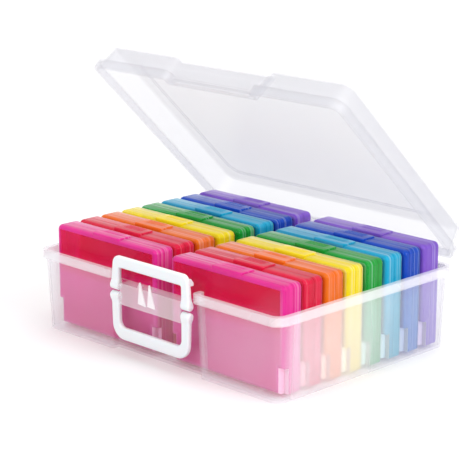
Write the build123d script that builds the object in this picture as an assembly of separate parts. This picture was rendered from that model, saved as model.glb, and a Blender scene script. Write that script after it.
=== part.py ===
from build123d import *
from math import radians, tan
import os

# A photo keeper case: a clear tub with a hinged clear lid, a snap latch and a carry handle,
# holding two columns of tinted clamshell photo cases that stand on their long edges.
# Millimetres. +Z up, the latch faces -Y, and the origin is the middle of the tub's underside.

# ---- photo cases --------------------------------------------------------------------------
COLOURS = ("pink", "red", "orange", "yellow", "green", "teal", "blue", "violet")
SIDES = (("left", -1), ("right", 1))

case_width = 167.0          # along the tub's long side
case_height = 116.5         # standing on a long edge
case_thickness = 28.5
case_wall = 1.6
case_corner = 6.0           # rounding of the broad faces' two top corners
case_bevel = 3.0            # round the broad faces, but not below, where the case folds
case_gap = 3.3              # between one case and the next in a column
column_gap = 24.0           # between the two columns
lap_height = 1.6            # the tray's lip inside the cover
lap_wall = 1.0
lap_clearance = 0.15
notch_height = 28.0         # the cover's bottom corners are cut away, to let it swing
notch_width = 5.5
notch_land = 6.0            # of the cover's depth that is left whole beside the seam
clasp_width = 46.0
clasp_rise = 1.8            # above the case's top edge
clasp_front = 0.5           # from the cover's face to the clasp's front end
clasp_nose = 1.5            # bevel of that end's top edge
clasp_reach = 7.0           # of the clasp beyond the seam
catch_width = 30.0
catch_depth = 1.6
catch_rise = 1.2

# ---- tub ----------------------------------------------------------------------------------
tub_height = 94.0
tub_wall = 2.0
tub_floor = 2.2
tub_draft = 2.0             # degrees
tub_corner = 12.0           # outside radius of the four upright corners
front_clearance = 1.6       # from the recess to the first case
rear_clearance = 4.5        # from the last case to the rear wall
side_clearance = 3.2
rail_height = 2.8           # rails that the cases stand on
rail_width = 3.0
rail_place = 0.3            # of a case's width, out from the middle of its column
rim_overhang = 3.6          # of the rim beyond the wall's top
rim_band = 10.0             # height of the rim's skirt
rim_plate = 1.8
rim_skirt = 1.6

recess_width = 140.0        # in the front wall, for the latch and the handle
recess_depth = 9.0
recess_round = 4.0          # of the recess's upright corners
recess_cut = 12.0           # the wall inside the recess stops this far below the rim

# ---- shelf that carries the latch and the handle ------------------------------------------
shelf_width = 97.0
shelf_height = 24.0
shelf_web = 2.0
fin_places = (-19.0, -2.0)  # two upright fins, left of the middle
fin_thickness = 2.2
fin_rise = 4.5
pivot_radius = 2.5
pivot_length = 9.8
pivot_clearance = 0.05

# ---- latch and handle ---------------------------------------------------------------------
grip_width = 123.0          # both frames, side to side
grip_leg = 12.0
grip_thickness = 6.0
grip_set_back = 1.6         # of the frames' middle plane from the rim's front
boss_radius = 4.5           # round each pivot
boss_flare = 1.5            # of the boss beyond the leg
latch_drop = 4.0            # of the latch's pivot below the shelf's top
latch_corner = 8.0
latch_inner_corner = 2.0
hook_height = 8.0
hook_reach = 5.3            # from the latch's inner face
hook_width = 116.0
hook_gap = 0.5              # between the hook and the lid's ledge
bar_above_hook = 5.0
handle_drop = 15.0          # of the handle's pivot below the shelf's top
handle_length = 49.0        # from its pivot to its lower edge
handle_bar = 14.0
handle_corner = 12.0
handle_inner_corner = 4.0

# ---- lid ----------------------------------------------------------------------------------
lid_headroom = 2.0          # above the cases' clasps
lid_wall = 2.0
lid_draft = 6.0             # degrees
lid_gap = 0.3               # between the two rims
lid_open = 44.3             # degrees, as photographed
lid_edge = 2.0              # bevel of the top's edge
panel_inset = 24.0          # from the top's edge to the sunk stacking panel
panel_depth = 1.2
panel_corner = 16.0
ledge_height = 4.7          # the ledge that the latch's hook takes
ledge_reach = 5.5

# ---- hinge --------------------------------------------------------------------------------
hinge_spacing = 230.0       # between the middles of the two hinges
hinge_standoff = 7.0        # from the rim's rear face to the axis
hinge_pin = 3.0             # radius
hinge_clearance = 0.05
knuckle_radius = 5.5
knuckle_width = 25.0
ear_half = 4.8              # of an ear's height and depth round the pin
ear_thickness = 3.0
ear_gap = 0.5
ear_drop = 8.0
clip_mouth = 4.6

# ---- places worked out from the sizes above -----------------------------------------------
pitch = case_thickness + case_gap
half_depth = case_thickness / 2
bevel_inside = case_bevel - 0.6 * case_wall     # the wall stays equally thick behind the bevel
column_depth = len(COLOURS) * pitch - case_gap
tub_half_x = case_width + column_gap / 2 + side_clearance + tub_wall
tub_half_y = (column_depth + front_clearance + rear_clearance + recess_depth) / 2 + tub_wall
lean = tan(radians(tub_draft))
spread = tub_height * lean                      # the walls' tops stand out by this much
wall_half_x = tub_half_x + spread
wall_half_y = tub_half_y + spread
rim_half_y = wall_half_y + rim_overhang
floor_top = tub_floor + rail_height
recess_plane = tub_half_y - recess_depth        # outer face of the recess at the underside
recess_clear = recess_width / 2 - spread - rim_overhang     # half width between the rim's ends
row_front = tub_wall + front_clearance - recess_plane       # front face of the first row
shelf_top = tub_height - recess_cut
shelf_back = recess_plane + shelf_top * lean - tub_wall / 2
grip_plane = rim_half_y - grip_set_back
latch_pivot = shelf_top - latch_drop
handle_pivot = shelf_top - handle_drop
lid_bottom = tub_height + lid_gap
lid_top = floor_top + case_height + clasp_rise + lid_headroom + lid_wall + panel_depth
lid_height = lid_top - lid_bottom
ledge_top = lid_bottom + ledge_height
hinge_y = rim_half_y + hinge_standoff
hinge_z = tub_height + lid_gap / 2
hinge_places = (-hinge_spacing / 2, hinge_spacing / 2)


def frustum(x, y0, y1, z_wide, z_narrow, draft):
    """A block of half width x from y0 to y1 at z_wide, its sides closing in towards z_narrow."""
    body = extrude(Rectangle(2 * x, y1 - y0), abs(z_narrow - z_wide), taper=draft)
    return Pos(0, (y0 + y1) / 2, z_wide) * Rot(0 if z_narrow > z_wide else 180, 0, 0) * body


def drafted(grow, z_wide, z_narrow, draft=0.0):
    """A block on the tub's plan with its front recess, grown outwards by grow at its wide end.

    The four corners and the recess's corners keep one radius all the way, smaller inside a wall
    than outside it, so that the wall is equally thick round them.
    """
    half_x, half_y = tub_half_x + grow, tub_half_y + grow
    closed_in = abs(z_narrow - z_wide) * tan(radians(draft))
    mouth = recess_width / 2 - grow + closed_in
    body = frustum(half_x, -half_y, half_y, z_wide, z_narrow, draft)
    body -= frustum(mouth, -half_y - 40, recess_depth + closed_in - half_y, z_narrow, z_wide, draft)
    past_wall = grow if grow < 0 else max(grow - spread, -tub_wall)
    front = recess_depth / 2 - half_y
    upright = [e for e in body.edges() if abs(e.tangent_at(0.5).Z) > 0.5]
    corners = [e for e in upright if abs(e.center().X) > recess_width / 2 + 5]
    body = fillet(corners, tub_corner + past_wall)
    upright = [e for e in body.edges() if abs(e.tangent_at(0.5).Z) > 0.5]
    shoulders = [e for e in upright if abs(e.center().X) < recess_width / 2 + 5 and e.center().Y < front]
    return fillet(shoulders, recess_round + past_wall)


def block(x0, x1, y0, y1, z0, z1):
    """A box between two corners."""
    return Pos((x0 + x1) / 2, (y0 + y1) / 2, (z0 + z1) / 2) * Box(x1 - x0, y1 - y0, z1 - z0)


def rod(x0, x1, y, z, radius):
    """A round bar along X."""
    return Pos((x0 + x1) / 2, y, z) * Rot(0, 90, 0) * Cylinder(radius, x1 - x0)


def slab(profile, y0, y1):
    """A profile drawn in X and Z, carried from y0 to y1."""
    return extrude(Plane(origin=(0, y0, 0), x_dir=(1, 0, 0), z_dir=(0, -1, 0)) * profile, -(y1 - y0))


def plate(points, x0, x1):
    """A flat plate from x0 to x1 with its corners given as (y, z)."""
    face = make_face(Polyline(*[(x0, y, z) for y, z in points], close=True))
    return extrude(face, x1 - x0, dir=(1, 0, 0))


# ---- tub ----------------------------------------------------------------------------------
def make_rim(z0, plate_z0):
    """A turned-out rim round a wall's top: a plate that the wall's inside cuts, with a skirt."""
    grow = spread + rim_overhang
    skirt = drafted(grow, z0, z0 + rim_band) - drafted(grow - rim_skirt, z0 - 1, z0 + rim_band + 1)
    return skirt + drafted(grow, plate_z0, plate_z0 + rim_plate)


def make_hinge_ears(x):
    """Two ears on the rear rim with the hinge pin between them."""
    inside = knuckle_width / 2 + ear_gap
    root, low, tip, cut = rim_half_y - rim_skirt / 2, tub_height - ear_drop, ear_half, ear_half / 2
    profile = [
        (root, low),
        (hinge_y, low),
        (hinge_y + tip, hinge_z - cut),
        (hinge_y + tip, hinge_z + cut),
        (hinge_y + cut, hinge_z + tip),
        (hinge_y - cut, hinge_z + tip),
        (hinge_y - tip, tub_height),
        (root, tub_height),
    ]
    ears = rod(x - inside - 1, x + inside + 1, hinge_y, hinge_z, hinge_pin)
    for side in (-1, 1):
        a = x + side * inside
        ears += plate(profile, *sorted((a, a + side * ear_thickness)))
    return ears


def make_shelf():
    """The ribbed shelf across the recess, with its two fins and the pivots at its ends."""
    half = shelf_width / 2
    front, bottom = -rim_half_y, shelf_top - shelf_height
    body = block(-half, half, front, -shelf_back, bottom, shelf_top)
    stops = [-half, *fin_places, half]
    for a, b in zip(stops[:-1], stops[1:]):
        low, high = a + shelf_web, b - shelf_web
        body -= block(low, high, front + shelf_web, 1 - shelf_back, bottom - 1, shelf_top - shelf_web)
    middle = (front - shelf_back) / 2
    profile = [
        (front, shelf_top - 1),
        (front + 1.5, shelf_top + fin_rise),
        (front + 3.0, shelf_top + fin_rise),
        (middle + 3.0, shelf_top),
        (middle + 3.0, shelf_top - 1),
    ]
    for x in fin_places:
        body += plate(profile, x - fin_thickness / 2, x + fin_thickness / 2)
    for side in (-1, 1):
        a, b = side * (half - 1), side * (half + pivot_length)
        for height in (latch_pivot, handle_pivot):
            body += rod(min(a, b), max(a, b), -grip_plane, height, pivot_radius)
    return body


def make_tub():
    shell = drafted(spread, tub_height, 0, tub_draft)
    shell += make_rim(tub_height - rim_band, tub_height - rim_plate)
    shell -= drafted(spread + lean - tub_wall, tub_height + 1, tub_floor, tub_draft)
    shell -= block(
        -recess_clear, recess_clear, -rim_half_y - 1, tub_wall - recess_plane, shelf_top, tub_height + 1
    )
    shell += make_shelf()
    for x in hinge_places:
        shell += make_hinge_ears(x)
    rail_front, rail_rear = row_front + 1, row_front + column_depth - 1
    for _, side in SIDES:
        for step in (-rail_place, rail_place):
            x = side * (column_gap + case_width) / 2 + step * case_width
            half = rail_width / 2
            shell += block(x - half, x + half, rail_front, rail_rear, tub_floor - 0.5, floor_top)
    return shell


# ---- lid, built shut ----------------------------------------------------------------------
def make_knuckle(x):
    """The lid's clip: a split tube round the hinge pin, on an arm from the rear rim."""
    low, high = x - knuckle_width / 2, x + knuckle_width / 2
    arm_top = lid_bottom + knuckle_radius - 0.4
    clip = rod(low, high, hinge_y, hinge_z, knuckle_radius)
    clip += block(low, high, rim_half_y - rim_skirt / 2, hinge_y, lid_bottom + 0.6, arm_top)
    clip -= rod(low - 1, high + 1, hinge_y, hinge_z, hinge_pin + hinge_clearance)
    half = clip_mouth / 2
    return clip - block(low - 1, high + 1, hinge_y - half, hinge_y + half, hinge_z - knuckle_radius - 1, hinge_z)


def make_lid():
    shell = drafted(spread, lid_bottom, lid_top, lid_draft)
    shell = chamfer(shell.faces().sort_by(Axis.Z)[-1].outer_wire().edges(), lid_edge)
    cavity = drafted(spread - lid_wall, lid_bottom, lid_top - lid_wall, lid_draft)
    inset = lid_height * tan(radians(lid_draft)) + panel_inset
    panel = RectangleRounded(2 * (wall_half_x - inset), 2 * (wall_half_y - inset), panel_corner)
    cavity -= extrude(Pos(0, 0, lid_top - lid_wall - panel_depth) * panel, panel_depth + 1)
    band_top = lid_bottom + rim_band
    shell += make_rim(lid_bottom, band_top - rim_plate)
    shell -= cavity
    shell -= extrude(Pos(0, 0, lid_top - panel_depth) * panel, panel_depth + 1)
    wall_plane = wall_half_y - recess_depth
    shell -= block(
        -recess_clear, recess_clear, -rim_half_y - 1, -wall_plane - 0.01, ledge_top, band_top + 0.01
    )
    half = hook_width / 2
    shell += block(-half, half, -wall_plane - ledge_reach, -wall_plane + 1, lid_bottom, ledge_top)
    for x in hinge_places:
        shell += make_knuckle(x)
    return shell


# ---- latch and handle ---------------------------------------------------------------------
def make_frame(closed_z, pivot_z, bar, corner, inner_corner):
    """A frame with one bar at closed_z and two legs that end at the pivots."""
    up = 1 if closed_z > pivot_z else -1
    low, high = min(closed_z, pivot_z), max(closed_z, pivot_z)
    profile = Pos(0, (low + high) / 2) * Rectangle(grip_width, high - low)
    profile = fillet([v for v in profile.vertices() if abs(v.Y - closed_z) < 0.01], corner)
    edge, end = closed_z - up * bar, pivot_z - up
    window = Pos(0, (edge + end) / 2) * Rectangle(grip_width - 2 * grip_leg, abs(edge - end))
    window = fillet([v for v in window.vertices() if abs(v.Y - edge) < 0.01], inner_corner)
    half = grip_thickness / 2
    body = slab(profile - window, -grip_plane - half, -grip_plane + half)
    inner, outer = grip_width / 2 - grip_leg, grip_width / 2 + boss_flare
    hole = shelf_width / 2 + pivot_length + 0.4
    for side in (-1, 1):
        body += rod(*sorted((side * inner, side * outer)), -grip_plane, pivot_z, boss_radius)
        body -= rod(
            *sorted((side * (inner - 1), side * hole)), -grip_plane, pivot_z, pivot_radius + pivot_clearance
        )
    return body


def make_latch():
    low = ledge_top + hook_gap
    bar = hook_height + bar_above_hook
    body = make_frame(low + bar, latch_pivot, bar, latch_corner, latch_inner_corner)
    inner = -grip_plane + grip_thickness / 2
    hook = [
        (inner - 1, low),
        (inner + hook_reach, low),
        (inner + hook_reach, low + hook_height * 0.4),
        (inner + hook_reach * 0.3, low + hook_height),
        (inner - 1, low + hook_height),
    ]
    return body + plate(hook, -hook_width / 2, hook_width / 2)


def make_handle():
    return make_frame(handle_pivot - handle_length, handle_pivot, handle_bar, handle_corner, handle_inner_corner)


# ---- one photo case, standing, its middle at the origin, the cover towards -Y -------------
def outline(inset=0.0):
    """A case's outline in X and Z, one inset in all round: square below, where the case folds.

    The top corners are round outside and cut straight across inside.
    """
    profile = Pos(0, case_height / 2) * Rectangle(case_width - 2 * inset, case_height - 2 * inset)
    top = [v for v in profile.vertices() if v.Y > case_height / 2]
    return chamfer(top, case_corner / 2) if inset else fillet(top, case_corner)


def half_case(inset, bevel, seam=0.0):
    """Half a case, one inset in, from the seam to its broad face at +Y with a bevelled edge."""
    end, half, top = half_depth - inset, case_width / 2 - inset, case_height - inset
    above = [(seam, 0), (end, 0), (end, top - bevel), (end - bevel, top), (seam, top)]
    beside = [
        (-half, seam),
        (-half, end - bevel),
        (bevel - half, end),
        (half - bevel, end),
        (half, end - bevel),
        (half, seam),
    ]
    plan = extrude(make_face(Polyline(*beside, close=True)), case_height)
    return slab(outline(inset), seam, end) & plate(above, -half, half) & plan


def make_tray():
    body = half_case(0, case_bevel) - half_case(case_wall, bevel_inside, -1)
    lap = case_wall + lap_clearance
    body += slab(outline(lap) - outline(lap + lap_wall), -lap_height, case_wall)
    body += slab(outline(case_wall / 2) - outline(lap + lap_wall), 0, case_wall)
    behind = clasp_reach + lap_clearance
    half = catch_width / 2
    return body + block(-half, half, behind, behind + catch_depth, case_height - 1, case_height + catch_rise)


def make_cover():
    body = Rot(0, 0, 180) * half_case(0, case_bevel)
    hollow = Rot(0, 0, 180) * half_case(case_wall, bevel_inside, -1)
    for side in (-1, 1):
        a, b = sorted((side * (case_width / 2 - notch_width), side * case_width))
        body -= block(a, b, -half_depth - 1, -notch_land, -1, notch_height)
        a, b = sorted((side * (case_width / 2 - notch_width - case_wall), side * case_width))
        hollow -= block(a, b, -half_depth, case_wall - notch_land, 0, notch_height + case_wall)
    half, top, front = clasp_width / 2, case_height + clasp_rise, clasp_front - half_depth
    pad = [
        (front, case_height - case_bevel),
        (front, top - clasp_nose),
        (front + clasp_nose, top),
        (0, top),
        (0, case_height - 1),
        (case_bevel - half_depth, case_height - 1),
    ]
    body = body - hollow + plate(pad, -half, half)
    return body + block(-half, half, -1, clasp_reach, case_height + lap_clearance, top)


# ---- everything in its place --------------------------------------------------------------
def main():
    os.makedirs("parts", exist_ok=True)
    axis = Axis((0, hinge_y, hinge_z), (1, 0, 0))
    export_step(make_tub(), "parts/tub.step")
    export_step(make_lid().rotate(axis, -lid_open), "parts/lid.step")
    export_step(make_latch(), "parts/latch.step")
    export_step(make_handle(), "parts/carry_handle.step")
    tray, cover = make_tray(), make_cover()
    for side, sign in SIDES:
        x = sign * (column_gap + case_width) / 2
        for row, colour in enumerate(COLOURS):
            place = Pos(x, row_front + row * pitch + half_depth, floor_top)
            export_step(place * tray, f"parts/{colour}_{side}_tray.step")
            export_step(place * cover, f"parts/{colour}_{side}_cover.step")


main()
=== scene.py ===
import math

import bpy
import numpy as np
from mathutils import Matrix, Vector


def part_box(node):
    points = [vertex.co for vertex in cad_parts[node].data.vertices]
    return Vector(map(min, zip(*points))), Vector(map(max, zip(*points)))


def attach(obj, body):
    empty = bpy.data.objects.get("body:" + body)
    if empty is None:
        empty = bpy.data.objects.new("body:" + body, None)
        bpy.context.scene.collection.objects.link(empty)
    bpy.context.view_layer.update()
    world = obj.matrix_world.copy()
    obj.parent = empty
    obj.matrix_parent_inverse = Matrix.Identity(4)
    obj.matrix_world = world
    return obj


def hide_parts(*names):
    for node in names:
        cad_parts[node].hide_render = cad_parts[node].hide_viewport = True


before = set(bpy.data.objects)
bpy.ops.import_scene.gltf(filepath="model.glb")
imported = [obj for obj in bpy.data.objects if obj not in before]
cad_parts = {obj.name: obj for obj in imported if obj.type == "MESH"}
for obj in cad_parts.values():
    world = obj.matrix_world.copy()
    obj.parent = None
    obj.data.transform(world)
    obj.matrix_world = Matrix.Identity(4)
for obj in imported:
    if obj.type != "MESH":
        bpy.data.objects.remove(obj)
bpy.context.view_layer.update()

MM = 0.001

# ---- the photo cases' own sizes, in metres ------------------------------------------------------
COLOURS = ("pink", "red", "orange", "yellow", "green", "teal", "blue", "violet")
SIDES = ("left", "right")
CASE_HALF = 83.5 * MM           # of a case's width
HALF_DEPTH = 14.25 * MM         # of a shut case, from its seam to a broad face
WALL = 1.6 * MM
TOP_CORNER = 6.0 * MM           # rounding of the broad faces' two top corners
EDGE_ROUND = 4.5 * MM           # rounding round the broad faces
FLAT_MARGIN = 0.5 * MM          # flat strip beside a rounding, so that its shading ends there
SEAM_BEVEL = 0.35 * MM
LAP_OUT = 1.75 * MM             # the tray's lip inside the cover: its outer and inner face
LAP_IN = 2.75 * MM
LAP_HEIGHT = 1.6 * MM
NOTCH_WIDTH = 5.5 * MM          # the cover's bottom corners are cut away
NOTCH_HEIGHT = 28.0 * MM
NOTCH_LAND = 6.0 * MM
CLASP_HALF = 23.0 * MM
CLASP_RISE = 1.8 * MM
CLASP_FRONT = 0.5 * MM          # from the cover's broad face
CLASP_REACH = 7.0 * MM          # beyond the seam
CLASP_CORNER = 3.0 * MM         # rounding of its corners, seen from above
CLASP_EDGE = 0.9 * MM           # rounding of its edges
GRIP_RIBS = 4                   # low ridges on the clasp, where the fingers press
ARC_STEPS = 6

# ---- the latch's and the handle's frames --------------------------------------------------------
GRIP_HALF = 61.5 * MM           # half the frames' width at the legs
GRIP_INNER = 49.5 * MM          # half the window's width
GRIP_DEPTH = 3.0 * MM           # half the frames' thickness
GRIP_EDGE = 2.2 * MM            # rounding of their edges
BOSS = 4.5 * MM                 # radius of the round ends at the pivots
FLARE = 1.5 * MM                # of those ends beyond the legs


# ---- colours and nodes --------------------------------------------------------------------------
def linear(hex_colour):
    """An sRGB hex colour as the linear RGBA that shaders take."""
    srgb = np.array([int(hex_colour[i:i + 2], 16) for i in (1, 3, 5)]) / 255
    rgb = np.where(srgb <= 0.04045, srgb / 12.92, ((srgb + 0.055) / 1.055) ** 2.4)
    return (*rgb.tolist(), 1.0)


def add(tree, kind, settings=None, **links):
    """Adds a node. Settings go to its inputs by name or number, or to the node; links name what feeds them."""
    node = tree.nodes.new(kind)
    for name, value in (settings or {}).items():
        if isinstance(name, int) or name in node.inputs:
            node.inputs[name].default_value = value
        else:
            setattr(node, name, value)
    for name, source in links.items():
        key = int(name[1:]) if name[1:].isdigit() else name.replace("_", " ")
        tree.links.new(source, node.inputs[key])
    return node


def new_material(name):
    material = bpy.data.materials.new(name)
    material.use_nodes = True
    material.node_tree.nodes.clear()
    return material, material.node_tree


def moulded_skin(tree, place, flow_mm, depth_mm):
    """The faint waviness that flowing plastic leaves on a moulded wall, as a bump."""
    wave = add(tree, "ShaderNodeTexNoise", {"Scale": 1 / (flow_mm * MM), "Detail": 2.0, "Roughness": 0.4}, Vector=place)
    return add(
        tree, "ShaderNodeBump", {"Strength": 0.5, "Distance": depth_mm * MM}, Height=wave.outputs["Fac"]
    )


def ranged(tree, source, low, high, to_low, to_high):
    """A number taken from one range to another, and held at its ends."""
    return add(tree, "ShaderNodeMapRange", {1: low, 2: high, 3: to_low, 4: to_high}, _0=source).outputs[0]


def times(tree, a, b):
    return add(tree, "ShaderNodeMath", {"operation": "MULTIPLY"}, _0=a, _1=b).outputs[0]


def blend(tree, share, first, second):
    """Two hex colours mixed by a share from 0 to 1."""
    settings = {"data_type": "RGBA", 6: linear(first), 7: linear(second)}
    return add(tree, "ShaderNodeMix", settings, _0=share).outputs[2]


def wall_haze(tree, place):
    """A factor for the tub's haze: less at the front, in the recess and behind, and most in the rim."""
    axes = add(tree, "ShaderNodeSeparateXYZ", {}, Vector=place).outputs
    across = add(tree, "ShaderNodeMath", {"operation": "ABSOLUTE"}, _0=axes["X"]).outputs[0]
    near = ranged(tree, axes["Y"], -128 * MM, -112 * MM, 1.0, 0.0)
    cleared = ranged(tree, across, 62 * MM, 70 * MM, 0.85, 0.64)
    front = ranged(tree, times(tree, near, cleared), 0, 1, 1.0, 0.0)
    walls = times(tree, front, ranged(tree, axes["Y"], 0, 50 * MM, 1.0, 0.5))
    rim = ranged(tree, axes["Z"], 82.8 * MM, 83.8 * MM, 0.0, 0.95)
    return add(tree, "ShaderNodeMath", {"operation": "MAXIMUM"}, _0=walls, _1=rim).outputs[0]


def shelf_haze(tree, place):
    """The haze of the shelf's front face, which is moulded thicker than the walls."""
    axes = add(tree, "ShaderNodeSeparateXYZ", {}, Vector=place).outputs
    across = add(tree, "ShaderNodeMath", {"operation": "ABSOLUTE"}, _0=axes["X"]).outputs[0]
    return times(
        tree, ranged(tree, axes["Y"], -141 * MM, -140 * MM, 0.36, 0.0), ranged(tree, across, 49 * MM, 50 * MM, 1.0, 0.0)
    )


def painted_light_streaks(tree, place):
    """Painted light: fine lines along a case's top and ends, painted as highlights and as shade where its thin walls,
    lip and seam catch the light.

    The noise is stretched along X and Z and short along Y, so the broad faces, which keep one Y,
    have none.
    """
    drawn = add(tree, "ShaderNodeMapping", {"Scale": (1 / 90, 1.0, 1 / 90)}, Vector=place).outputs[0]
    noise = add(tree, "ShaderNodeTexNoise", {"Scale": 1 / (2.6 * MM), "Detail": 1.5}, Vector=drawn)
    return noise.outputs["Fac"]


def see_through_plastic(
    name, through, deep, surface, haze, shaded, roughness, ior, flow_mm, gloss=0.7, sheen=0.0, cases=None, tub=False
):
    """A clear moulded plastic: light passes tinted, and the rest meets a glossy milky surface.

    Haze is the share of a wall's surface that is seen as the surface itself. It varies slowly
    over the moulding, as the flow does, and rises at a grazing angle, where gloss takes over.
    Light passes deeper tinted there, because it crosses more of the wall. The haze sends most
    light on into what the wall holds, so only the share called shaded is kept from it.
    """
    material, tree = new_material(name)
    place = add(tree, "ShaderNodeTexCoord").outputs["Object"]
    facing = add(tree, "ShaderNodeLayerWeight", {"Blend": 0.5}).outputs["Facing"]
    flow = add(tree, "ShaderNodeTexNoise", {"Scale": 1 / (flow_mm * MM), "Detail": 1.0}, Vector=place)
    share = ranged(tree, flow.outputs["Fac"], 0.1, 0.9, haze * 0.88, haze * 1.12)
    skin_link = {}
    if tub:
        share = times(tree, share, wall_haze(tree, place))
        thick = shelf_haze(tree, place)
        share = add(tree, "ShaderNodeMath", {"operation": "MAXIMUM"}, _0=share, _1=thick).outputs[0]
    if cases:
        clearness, broad_colour, frost_and_highlight_colour, shade_line_colour = cases
        height = add(tree, "ShaderNodeSeparateXYZ", {}, Vector=place).outputs["Z"]
        broad = add(tree, "ShaderNodeAttribute", {"attribute_name": "broad"}).outputs["Fac"]
        # Painted light: towards the foot the colour is blended to the paler light-passed colour, most on the ends,
        # standing for the light that the milky tub scatters over the case.
        foot = times(
            tree, ranged(tree, height, 65 * MM, 92 * MM, 1.0, 0.0), ranged(tree, broad, 0, 1, 0.45, 0.10)
        )
        # Painted light too: below the tub's rim the broad faces lose their deep colour and their clearness.
        broad = times(tree, broad, ranged(tree, height, 65 * MM, 92 * MM, 0.0, 1.0))
        frost = add(tree, "ShaderNodeAttribute", {"attribute_name": "frosted"}).outputs["Fac"]
        share = times(tree, share, ranged(tree, broad, 0, 1, 1.0, clearness))
        matt = ranged(tree, frost, 0, 1, 0.0, 0.85)
        share = add(tree, "ShaderNodeMath", {"operation": "MAXIMUM"}, _0=share, _1=matt).outputs[0]
        colour = blend(tree, foot, surface, through)
        settings = {"data_type": "RGBA", 7: linear(broad_colour)}
        colour = add(tree, "ShaderNodeMix", settings, _0=broad, _6=colour).outputs[2]
        drawn = painted_light_streaks(tree, place)
        settings = {"data_type": "RGBA", 7: linear(frost_and_highlight_colour)}
        # Painted highlight: pale streaks in the frost colour where the noise is high.
        pale = ranged(tree, drawn, 0.54, 0.70, 0.0, 0.45)
        colour = add(tree, "ShaderNodeMix", settings, _0=pale, _6=colour).outputs[2]
        settings = {"data_type": "RGBA", 7: linear(shade_line_colour)}
        # Painted shade: dark lines where the noise is low.
        dark = ranged(tree, drawn, 0.46, 0.30, 0.0, 0.6)
        colour = add(tree, "ShaderNodeMix", settings, _0=dark, _6=colour).outputs[2]
        settings = {"data_type": "RGBA", 7: linear(frost_and_highlight_colour)}
        skin_link = {"Base_Color": add(tree, "ShaderNodeMix", settings, _0=frost, _6=colour).outputs[2]}
    grazing = ranged(tree, facing, 0.5, 0.85, 0.0, gloss)
    share = add(tree, "ShaderNodeMath", {"operation": "MAXIMUM"}, _0=share, _1=grazing).outputs[0]
    rays = add(tree, "ShaderNodeLightPath")
    passing = add(
        tree, "ShaderNodeMath", {"operation": "MAXIMUM"},
        _0=rays.outputs["Is Shadow Ray"], _1=rays.outputs["Is Diffuse Ray"],
    )
    share = times(tree, share, ranged(tree, passing.outputs[0], 0, 1, 1.0, shaded))
    bump = moulded_skin(tree, place, flow_mm * 0.4, 0.02)
    body = add(
        tree,
        "ShaderNodeBsdfPrincipled",
        {
            "Base Color": linear(surface), "Roughness": roughness, "IOR": ior,
            "Specular IOR Level": 0.25 if cases else 0.5, "Sheen Weight": sheen,
        },
        Normal=bump.outputs["Normal"],
        **skin_link,
    )
    clear = add(tree, "ShaderNodeBsdfTransparent", {}, Color=blend(tree, facing, through, deep))
    mix = add(tree, "ShaderNodeMixShader", {}, _0=share, _1=clear.outputs[0], _2=body.outputs[0])
    add(tree, "ShaderNodeOutputMaterial", {}, Surface=mix.outputs[0])
    return material


def opaque_plastic(name, colour, roughness):
    """A solid white moulding with a fine satin grain and a slightly uneven gloss."""
    material, tree = new_material(name)
    place = add(tree, "ShaderNodeTexCoord").outputs["Object"]
    patches = add(tree, "ShaderNodeTexNoise", {"Scale": 1 / (18 * MM), "Detail": 3.0}, Vector=place)
    gloss = add(
        tree,
        "ShaderNodeMapRange",
        {1: 0.3, 2: 0.7, 3: roughness - 0.05, 4: roughness + 0.07},
        _0=patches.outputs["Fac"],
    )
    bump = moulded_skin(tree, place, 1.2, 0.02)
    body = add(
        tree,
        "ShaderNodeBsdfPrincipled",
        {"Base Color": linear(colour), "IOR": 1.49, "Subsurface Weight": 0.1, "Subsurface Scale": 1.5 * MM},
        Normal=bump.outputs["Normal"],
        Roughness=gloss.outputs[0],
    )
    add(tree, "ShaderNodeOutputMaterial", {}, Surface=body.outputs[0])
    return material


# ---- materials ----------------------------------------------------------------------------------
# Polypropylene, injection moulded and unpigmented: milky, so what stands behind it turns pastel.
MILKY = see_through_plastic(
    "milky polypropylene", "#FEFEFE", "#F6F5F8", "#FEFDFE", 0.26, 0.0, 0.30, 1.49, 60, gloss=0.45, tub=True
)
# The same plastic, moulded clearer for the lid: nearly gone against white, with soft gloss.
CLEAR = see_through_plastic(
    "clear polypropylene", "#FAFAFB", "#F2F2F4", "#FAFAFB", 0.11, 0.0, 0.22, 1.49, 80, gloss=0.35
)
# The tub's plastic where it is thick or matt, as on the shelf's gussets: nearly white.
FROSTED = see_through_plastic("frosted polypropylene", "#FEFEFE", "#F6F5F8", "#FEFDFE", 0.6, 0.0, 0.40, 1.49, 20)
# The rounded edges of the two clear mouldings take a hazier copy of their plastic: partly the real
# haze of light crossing more plastic there, partly a painted highlight that shows them as thin bright lines.
MILKY_HAZE_AND_HIGHLIGHT_EDGE = see_through_plastic("milky edge haze and painted highlight", "#FEFEFE", "#F6F5F8", "#FEFEFE", 0.75, 0.0, 0.30, 1.49, 60)
CLEAR_HAZE_AND_HIGHLIGHT_EDGE = see_through_plastic("clear edge haze and painted highlight", "#FAFAFB", "#F2F2F4", "#FCFCFC", 0.40, 0.0, 0.25, 1.49, 60)
# Polypropylene with white pigment: opaque, with a satin gloss on rounded edges.
WHITE = opaque_plastic("white polypropylene", "#EBEFF2", 0.32)

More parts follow.
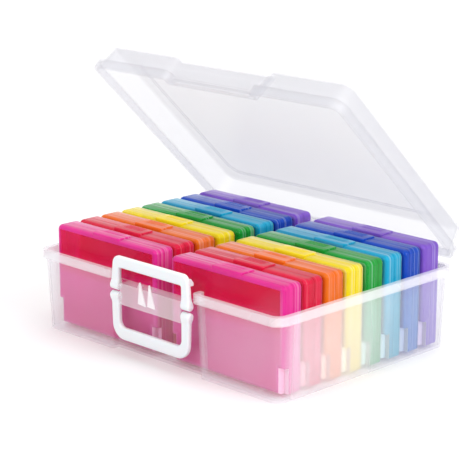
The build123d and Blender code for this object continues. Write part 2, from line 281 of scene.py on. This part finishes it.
# Polystyrene, dyed in the melt and moulded glossy: light through it takes the dye's colour, and
# its polished surface shows the same colour paler. The broad faces are the clearest. Each colour
# is (light passed, light passed at a grazing angle, surface, surface of the broad faces, the
# matt faces of the cut-away corners, also used for the painted highlight streaks, and the painted
# shade lines that stand for the shade at lip and seam). Towards its foot a case's colour is
# painted paler: painted light standing for the light that the milky tub scatters over it.
DYES = {
    "pink": ("#F890E0", "#EE60B0", "#F034AA", "#F80050", "#FBC4E4", "#C8007C"),
    "red": ("#F678B4", "#E62E54", "#F01250", "#F40028", "#FBC0D0", "#C00030"),
    "orange": ("#FDC27A", "#F8923A", "#F28404", "#FA6400", "#FDDCC8", "#D85400"),
    "yellow": ("#FDF88C", "#F8EE3C", "#FAE806", "#FADC00", "#FBF8DC", "#E4C400"),
    "green": ("#70DEC8", "#34BC62", "#00B236", "#009A28", "#CDEFE4", "#007C1C"),
    "teal": ("#5CDAEC", "#34B8D0", "#04C0E6", "#00A4C8", "#C8EEF4", "#0084AC"),
    "blue": ("#6CC8FA", "#2C62CE", "#0056CC", "#003CB4", "#C4DAF2", "#002C90"),
    "violet": ("#ACA4EE", "#A072DC", "#9E6CD8", "#843EC8", "#E0D6F2", "#6428B0"),
}
TINTED = {
    colour: see_through_plastic(
        f"{colour} polystyrene", through, deep, surface, 0.50, 0.35, 0.10, 1.59, 40,
        sheen=0.35, cases=(0.6, broad, frost, shade_line_colour),
    )
    for colour, (through, deep, surface, broad, frost, shade_line_colour) in DYES.items()
}


# ---- surfaces as arrays -------------------------------------------------------------------------
def outline(corners, rounds, steps=ARC_STEPS):
    """A closed outline through corners, each turned by a quarter arc of its own radius.

    A point is corner + r * (1 - sin t) * back + r * (1 - cos t) * ahead, for t from 0 to a
    quarter turn, where back and ahead are unit vectors to the corners before and after. On a
    straight run the same formula gives points along it, so outlines with and without a notch
    have matching points.
    """
    corners = np.asarray(corners, float)
    back = np.roll(corners, 1, axis=0) - corners
    ahead = np.roll(corners, -1, axis=0) - corners
    back /= np.linalg.norm(back, axis=1, keepdims=True)
    ahead /= np.linalg.norm(ahead, axis=1, keepdims=True)
    t = np.linspace(0, math.pi / 2, steps)[None, :, None]
    r = np.asarray(rounds, float)[:, None, None]
    points = corners[:, None] + r * (1 - np.sin(t)) * back[:, None] + r * (1 - np.cos(t)) * ahead[:, None]
    return points.reshape(-1, 2)


def ring_surface(rings):
    """A closed surface over an array of rings, with a face across the first and the last.

    The faces are turned outwards by the sign of the enclosed volume: the sum of a . (b x c) over
    its triangles, each end being a fan of them.
    """
    count, around = rings.shape[:2]
    points = rings.reshape(-1, 3)
    index = np.arange(count * around).reshape(count, around)
    nxt = np.roll(index, -1, axis=1)
    quads = np.stack([index[:-1], index[1:], nxt[1:], nxt[:-1]], axis=-1).reshape(-1, 4)
    ends = [index[0], index[-1][::-1]]
    fans = [np.column_stack([np.full(around - 2, end[0]), end[1:-1], end[2:]]) for end in ends]
    a, b, c = points[np.concatenate([quads[:, :3], quads[:, [0, 2, 3]], *fans])].transpose(1, 0, 2)
    if np.sum(a * np.cross(b, c)) < 0:
        quads = quads[:, ::-1]
        ends = [end[::-1] for end in ends]
    return points, quads.tolist() + [end.tolist() for end in ends]


def in_notch(middles):
    """Which of a case's faces, by their middles from its foot, line the cover's cut-away corners."""
    x, y, z = np.abs(middles).T
    across = x > CASE_HALF - NOTCH_WIDTH - WALL - 0.2 * MM
    return across & (x < CASE_HALF - 0.1 * MM) & (z < NOTCH_HEIGHT + 0.2 * MM) & (middles[:, 1] < 0.2 * MM - NOTCH_LAND)


def piece_from(name, parts, material, place=(0, 0, 0)):
    """One mesh object from several closed surfaces, smooth except at sharp edges."""
    points, faces = [], []
    for surface_points, surface_faces in parts:
        start = sum(len(p) for p in points)
        points.append(surface_points)
        faces += [[start + i for i in face] for face in surface_faces]
    mesh = bpy.data.meshes.new(name)
    mesh.from_pydata(np.concatenate(points), [], faces)
    corners = np.zeros(len(faces), int)
    mesh.polygons.foreach_get("loop_total", corners)
    broad = mesh.attributes.new("broad", "FLOAT", "FACE")
    broad.data.foreach_set("value", (corners >= ARC_STEPS * 8).astype(float))
    middles = np.zeros((len(faces), 3))
    mesh.polygons.foreach_get("center", middles.ravel())
    frosted = mesh.attributes.new("frosted", "FLOAT", "FACE")
    frosted.data.foreach_set("value", in_notch(middles - np.asarray(place)).astype(float))
    mesh.polygons.foreach_set("use_smooth", np.ones(len(mesh.polygons), bool))
    mesh.set_sharp_from_angle(angle=math.radians(38))
    mesh.materials.append(material)
    piece = bpy.data.objects.new(name, mesh)
    bpy.context.scene.collection.objects.link(piece)
    return piece


# ---- photo cases --------------------------------------------------------------------------------
def case_outline(width, height, inset, notched):
    """A case half's outline in X and Z, inset all round, with or without its bottom notches."""
    x, z, top = width / 2 - inset, inset, height - inset
    step_x, step_z = width / 2 - NOTCH_WIDTH - inset, NOTCH_HEIGHT + inset
    turn = step_x if notched else x
    turn_z = step_z if notched else z
    corners = [(step_x, z), (turn, turn_z), (x, step_z), (x, top)]
    corners += [(-a, b) for a, b in corners[::-1]]
    small = 0.8 * MM
    rounds = [small, small, small, max(TOP_CORNER - inset, small)]
    return outline(corners, rounds + rounds[::-1])


def quarter(radius, steps=ARC_STEPS):
    """(inset, depth) pairs round a quarter arc from a broad face to a side wall."""
    t = np.linspace(0, math.pi / 2, steps)
    return [(radius * (1 - math.sin(a)), radius * (1 - math.cos(a))) for a in t]


def case_half(width, height, profile, facing):
    """A case half from its wall profile: (inset, height above the broad face, notched) rings."""
    rings = []
    for inset, rise, notched in profile:
        flat = case_outline(width, height, inset, notched)
        depth = np.full(len(flat), facing * (HALF_DEPTH - rise))
        rings.append(np.column_stack([flat[:, 0], depth, flat[:, 1]]))
    return ring_surface(np.array(rings))


def cover_profile():
    """Round the outside from the broad face to the seam, then down the inside to the inner face."""
    seam, land = HALF_DEPTH, HALF_DEPTH - NOTCH_LAND
    inner_round = EDGE_ROUND - WALL * 0.5
    rings = [(EDGE_ROUND + FLAT_MARGIN, 0, True)]
    rings += [(i, d, True) for i, d in quarter(EDGE_ROUND)]
    rings += [(0, land, True), (0, land, False), (0, seam - SEAM_BEVEL, False), (SEAM_BEVEL, seam, False)]
    rings += [(WALL, seam, False), (WALL, land + WALL, False), (WALL, land + WALL, True)]
    rings += [(WALL + i, WALL + d, True) for i, d in quarter(inner_round)[::-1]]
    return rings + [(WALL + inner_round + FLAT_MARGIN, WALL, True)]


def tray_profile():
    """As the cover's, with a lip at the seam that stands up inside the cover."""
    seam = HALF_DEPTH
    inner_round = EDGE_ROUND - WALL * 0.5
    rings = [(EDGE_ROUND + FLAT_MARGIN, 0, False)]
    rings += [(i, d, False) for i, d in quarter(EDGE_ROUND)]
    rings += [(0, seam - SEAM_BEVEL, False), (SEAM_BEVEL, seam, False), (LAP_OUT, seam, False)]
    rings += [(LAP_OUT, seam + LAP_HEIGHT, False), (LAP_IN, seam + LAP_HEIGHT, False)]
    rings += [(LAP_IN, seam - LAP_HEIGHT, False), (WALL, seam - LAP_HEIGHT, False)]
    rings += [(WALL + i, WALL + d, False) for i, d in quarter(inner_round)[::-1]]
    return rings + [(WALL + inner_round + FLAT_MARGIN, WALL, False)]


def arc_inset(along, radius):
    """How far a quarter arc stands in from a straight edge, at a distance along from its end."""
    return radius - np.sqrt(radius**2 - np.maximum(radius - along, 0) ** 2)


def clasp_surface(height):
    """The raised clasp over the seam and the cover's front rounding.

    Its cross-section in Y and Z is carried along X, and shrinks at both ends by two arcs, which
    round its corners seen from above and its edges.
    """
    front, top, low = CLASP_FRONT - HALF_DEPTH, height + CLASP_RISE, height - 0.4 * MM
    t = np.linspace(0, math.pi / 2, ARC_STEPS)
    along = np.unique(np.concatenate([CLASP_EDGE * (1 - np.cos(t)), CLASP_CORNER * (1 - np.cos(t))]))
    ends = arc_inset(along, CLASP_CORNER)
    lowered = arc_inset(along, CLASP_EDGE)
    rings = []
    for a, end, drop in zip(along, ends, lowered):
        corners = [
            (front + end, height - 3.0 * MM + end),
            (front + end, top - drop),
            (CLASP_REACH - end, top - drop),
            (CLASP_REACH - end, low),
            (front + 3.2 * MM + end, low),
        ]
        small = 0.1 * MM
        section = outline(corners, [small, 1.8 * MM - drop, CLASP_EDGE - drop * 0.8, small, small])
        rings.append(np.column_stack([np.full(len(section), a - CLASP_HALF), section]))
    rings = np.array(rings)
    other = rings[::-1].copy()
    other[:, :, 0] *= -1
    return ring_surface(np.concatenate([rings, other]))


def ridge_surface(place, height):
    """A low round-topped ridge across the clasp: half circles in Y and Z carried along X."""
    half, radius, top = 14 * MM, 0.6 * MM, height + CLASP_RISE
    t = np.linspace(0, math.pi, ARC_STEPS)
    arc = np.column_stack([place - radius * np.cos(t), top - 0.2 * MM + radius * np.sin(t)])
    section = np.concatenate([arc, [[place + radius, top - 0.4 * MM], [place - radius, top - 0.4 * MM]]])
    rings = [np.column_stack([np.full(len(section), x), section]) for x in (-half, half)]
    return ring_surface(np.array(rings))


def moved(surface, offset):
    points, faces = surface
    return points + np.asarray(offset), faces


def clasp_surfaces(height):
    """The clasp with a few low ridges across it, where the fingers press."""
    return [clasp_surface(height)] + [
        ridge_surface(place, height) for place in np.linspace(-4.5 * MM, 4.0 * MM, GRIP_RIBS)
    ]


def make_cases():
    low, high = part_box("pink_left_tray")
    width = high.x - low.x
    for colour in COLOURS:
        for side in SIDES:
            tray, cover = f"{colour}_{side}_tray", f"{colour}_{side}_cover"
            low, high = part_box(tray)
            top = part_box(cover)[1].z - CLASP_RISE
            height = top - low.z
            place = ((low.x + high.x) / 2, high.y - HALF_DEPTH, low.z)
            halves = {
                tray: [case_half(width, height, tray_profile(), 1)],
                cover: [case_half(width, height, cover_profile(), -1)] + clasp_surfaces(height),
            }
            for node, surfaces in halves.items():
                shell = piece_from(f"{node}_shell", [moved(s, place) for s in surfaces], TINTED[colour], place)
                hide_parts(node)
                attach(shell, f"case_{colour}_{side}")


# ---- latch, handle and the shelf's gussets ------------------------------------------------------
def turned(before, corner, after, radius):
    """A quarter arc at a corner: corner + r * (1 - sin t) * back + r * (1 - cos t) * ahead."""
    before, corner, after = np.array(before), np.array(corner), np.array(after)
    back, ahead = before - corner, after - corner
    t = np.linspace(0, math.pi / 2, ARC_STEPS * 2)[:, None]
    back, ahead = back / np.linalg.norm(back), ahead / np.linalg.norm(ahead)
    return corner + radius * (1 - np.sin(t)) * back + radius * (1 - np.cos(t)) * ahead


def grip_surface(plane, pivot, far, far_half, bar, corner, inner_corner):
    """A white frame: a rounded cross-section carried from one pivot round two corners to the other.

    Each ring spans from a point of the frame's outer line to its partner on the inner line. The
    legs swell to the bosses by half a cosine, and each boss is closed by a quarter circle.
    """
    up = 1 if far > pivot else -1
    t = np.linspace(0, math.pi / 2, ARC_STEPS)[:-1]
    swell = 0.5 + 0.5 * np.cos(np.linspace(0, math.pi, 8))
    z = np.concatenate([pivot - up * BOSS * np.cos(t), pivot + up * np.linspace(0, 2 * BOSS, 8)])
    depth = np.concatenate([np.maximum(BOSS * np.sin(t), 0.4 * MM), GRIP_DEPTH + (BOSS - GRIP_DEPTH) * swell])
    inset = np.concatenate([1.2 * MM * (1 - np.sin(t)), np.zeros(8)])
    width = np.concatenate([np.full(len(t), GRIP_HALF + FLARE), GRIP_HALF + FLARE * swell])
    outer = np.column_stack([inset - width, z])
    inner = np.column_stack([-GRIP_INNER - inset, z])
    outer_turn = turned(outer[-1], (-far_half, far), (0, far), corner)
    inner_turn = turned(inner[-1], (-GRIP_INNER, far - up * bar), (0, far - up * bar), inner_corner)
    outer = np.concatenate([outer, outer_turn, [(0, far)]])
    inner = np.concatenate([inner, inner_turn, [(0, far - up * bar)]])
    depth = np.concatenate([depth, np.full(len(outer) - len(depth), GRIP_DEPTH)])
    mirror = np.array([-1, 1])
    outer = np.concatenate([outer, outer[-2::-1] * mirror])
    inner = np.concatenate([inner, inner[-2::-1] * mirror])
    depth = np.concatenate([depth, depth[-2::-1]])
    span = np.linalg.norm(inner - outer, axis=1)
    rings = []
    for start, along, w, h in zip(outer, (inner - outer) / span[:, None], span, depth):
        section = outline([(0, -h), (w, -h), (w, h), (0, h)], [min(GRIP_EDGE, h * 0.95)] * 4)
        flat = start + section[:, :1] * along
        rings.append(np.column_stack([flat[:, 0], plane + section[:, 1], flat[:, 1]]))
    return ring_surface(np.array(rings))


def bar_along_x(half, corners, rounds, steps=ARC_STEPS):
    """A closed outline in Y and Z carried from -half to half along X."""
    section = outline(corners, rounds, steps)
    rings = [np.column_stack([np.full(len(section), x), section]) for x in (-half, half)]
    return ring_surface(np.array(rings))


def make_grips():
    low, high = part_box("carry_handle")
    plane = (low.y + high.y) / 2
    handle = grip_surface(plane, high.z - BOSS, low.z, 60.0 * MM, 14.0 * MM, 17 * MM, 8 * MM)
    low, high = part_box("latch")
    frame_part = grip_surface(plane, low.z + BOSS, high.z, 58.5 * MM, 13.0 * MM, 8 * MM, 2.5 * MM)
    hook_low, root, tip = high.z - 13 * MM, plane + GRIP_DEPTH - 1 * MM, high.y
    corners = [
        (root, hook_low),
        (tip, hook_low),
        (tip, hook_low + 3.2 * MM),
        (tip - 3.7 * MM, hook_low + 8 * MM),
        (root, hook_low + 8 * MM),
    ]
    hook = bar_along_x(58 * MM, corners, [0.1 * MM, 0.5 * MM, 0.8 * MM, 0.8 * MM, 0.1 * MM])
    for name, node, body, surfaces in (
        ("handle_frame", "carry_handle", "handle", [handle]),
        ("latch_frame", "latch", "latch", [frame_part, hook]),
    ):
        piece = piece_from(name, surfaces, WHITE)
        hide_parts(node)
        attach(piece, body)


def make_gussets():
    """Two thin triangular plates on the shelf's front face, each upright on its left side."""
    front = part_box("tub")[0].y + 0.05 * MM
    plates = []
    for left in (-18.5 * MM, -3.5 * MM):
        corners = [
            (left, 65 * MM), (left + 12.5 * MM, 64 * MM), (left + 4 * MM, 89.5 * MM), (left + 2.5 * MM, 89.5 * MM)
        ]
        flat = outline(corners, [0.4 * MM, 0.4 * MM, 0.5 * MM, 0.5 * MM])
        rings = [np.column_stack([flat[:, 0], np.full(len(flat), y), flat[:, 1]]) for y in (front, front + 1.2 * MM)]
        plates.append(ring_surface(np.array(rings)))
    piece = piece_from("shelf_gussets", plates, FROSTED)
    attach(piece, "tub")


# ---- the tub and the lid keep their shapes ------------------------------------------------------
def soften_edges(node, material, edge_material, radius, segments):
    """Welds a node's triangles and turns its sharp edges with a small radius, as a mould does."""
    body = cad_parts[node]
    body.data.materials.clear()
    body.data.materials.append(material)
    body.data.materials.append(edge_material)
    weld = body.modifiers.new("weld", "WELD")
    weld.merge_threshold = 0.01 * MM
    bevel = body.modifiers.new("edges", "BEVEL")
    bevel.width = radius
    bevel.segments = segments
    # The bevel's rounded faces take the edge material: edge haze and painted highlight.
    bevel.material = 1
    bevel.limit_method = "ANGLE"
    bevel.angle_limit = math.radians(40)
    body.data.polygons.foreach_set("use_smooth", np.ones(len(body.data.polygons), bool))
    level = body.modifiers.new("flat walls", "WEIGHTED_NORMAL")
    level.mode = "FACE_AREA"
    level.weight = 90


def finish_frame():
    soften_edges("tub", MILKY, MILKY_HAZE_AND_HIGHLIGHT_EDGE, 0.6 * MM, 2)
    soften_edges("lid", CLEAR, CLEAR_HAZE_AND_HIGHLIGHT_EDGE, 0.6 * MM, 2)


# ---- studio -------------------------------------------------------------------------------------
CAMERA_PLACE = Vector((1.2942, -1.3075, 0.6070))
CAMERA_YAW = math.radians(45.16)
CAMERA_PITCH = math.radians(14.69)
CAMERA_LENS = 132.55


def make_camera():
    data = bpy.data.cameras.new("camera")
    data.lens = CAMERA_LENS
    data.sensor_width = 36
    data.clip_end = 50
    camera = bpy.data.objects.new("camera", data)
    bpy.context.scene.collection.objects.link(camera)
    level = math.cos(CAMERA_PITCH)
    ahead = Vector((-math.sin(CAMERA_YAW) * level, math.cos(CAMERA_YAW) * level, -math.sin(CAMERA_PITCH)))
    right = Vector((math.cos(CAMERA_YAW), math.sin(CAMERA_YAW), 0))
    up = right.cross(ahead)
    camera.matrix_world = Matrix.Translation(CAMERA_PLACE) @ Matrix((right, up, -ahead)).transposed().to_4x4()
    bpy.context.scene.camera = camera


def make_floor():
    """A pale floor: it keeps the object's shadow and is lifted to white where only the camera looks."""
    material, tree = new_material("pale floor")
    rays = add(tree, "ShaderNodeLightPath")
    seen = add(
        tree, "ShaderNodeMath", {"operation": "MAXIMUM"},
        _0=rays.outputs["Is Camera Ray"], _1=rays.outputs["Is Glossy Ray"],
    )
    place = add(tree, "ShaderNodeTexCoord").outputs["Object"]
    away = add(tree, "ShaderNodeVectorMath", {"operation": "LENGTH"}, _0=place).outputs["Value"]
    lift = add(
        tree, "ShaderNodeMath", {"operation": "MULTIPLY"},
        _0=seen.outputs[0], _1=ranged(tree, away, 0.5, 2.5, 0.18, 0.5),
    )
    matt = add(tree, "ShaderNodeBsdfDiffuse", {"Color": linear("#E4E4E5")})
    glow = add(tree, "ShaderNodeEmission", {"Color": (1, 1, 1, 1)}, Strength=lift.outputs[0])
    both = add(tree, "ShaderNodeAddShader", {}, _0=matt.outputs[0], _1=glow.outputs[0])
    add(tree, "ShaderNodeOutputMaterial", {}, Surface=both.outputs[0])
    mesh = bpy.data.meshes.new("floor")
    half, level = 15.0, -0.1 * MM
    corners = [(-half, -half, level), (half, -half, level), (half, half, level), (-half, half, level)]
    mesh.from_pydata(corners, [], [(0, 1, 2, 3)])
    mesh.materials.append(material)
    floor = bpy.data.objects.new("floor", mesh)
    bpy.context.scene.collection.objects.link(floor)


def make_world():
    """White to the camera and in gloss, and a soft even light on everything else."""
    world = bpy.data.worlds.new("studio")
    bpy.context.scene.world = world
    world.use_nodes = True
    tree = world.node_tree
    tree.nodes.clear()
    rays = add(tree, "ShaderNodeLightPath")
    seen = add(
        tree, "ShaderNodeMath", {"operation": "MAXIMUM"},
        _0=rays.outputs["Is Camera Ray"], _1=rays.outputs["Is Transmission Ray"],
    )
    seen = add(tree, "ShaderNodeMath", {"operation": "MAXIMUM"}, _0=seen.outputs[0], _1=rays.outputs["Is Glossy Ray"])
    strength = add(tree, "ShaderNodeMapRange", {1: 0.0, 2: 1.0, 3: 0.80, 4: 1.0}, _0=seen.outputs[0])
    light = add(tree, "ShaderNodeBackground", {"Color": (1, 1, 1, 1)}, Strength=strength.outputs[0])
    add(tree, "ShaderNodeOutputWorld", {}, Surface=light.outputs[0])


def softbox(name, place, target, size, power):
    data = bpy.data.lights.new(name, "AREA")
    data.shape = "SQUARE"
    data.size = size
    data.energy = power
    lamp = bpy.data.objects.new(name, data)
    bpy.context.scene.collection.objects.link(lamp)
    aim = (Vector(target) - Vector(place)).to_track_quat("-Z", "Y")
    lamp.matrix_world = Matrix.Translation(place) @ aim.to_matrix().to_4x4()


def make_lights():
    middle = (0, 0, 0.1)
    softbox("top softbox", (0.3, 0.3, 2.2), middle, 1.6, 14)
    softbox("right softbox", (2.0, 0.2, 1.2), middle, 1.2, 23)
    softbox("front softbox", (0.3, -2.2, 1.2), middle, 1.2, 12)


def main():
    scene = bpy.context.scene
    scene.view_settings.view_transform = "Standard"
    scene.cycles.transparent_max_bounces = 64
    make_camera()
    make_cases()
    make_grips()
    make_gussets()
    finish_frame()
    make_floor()
    make_world()
    make_lights()


main()
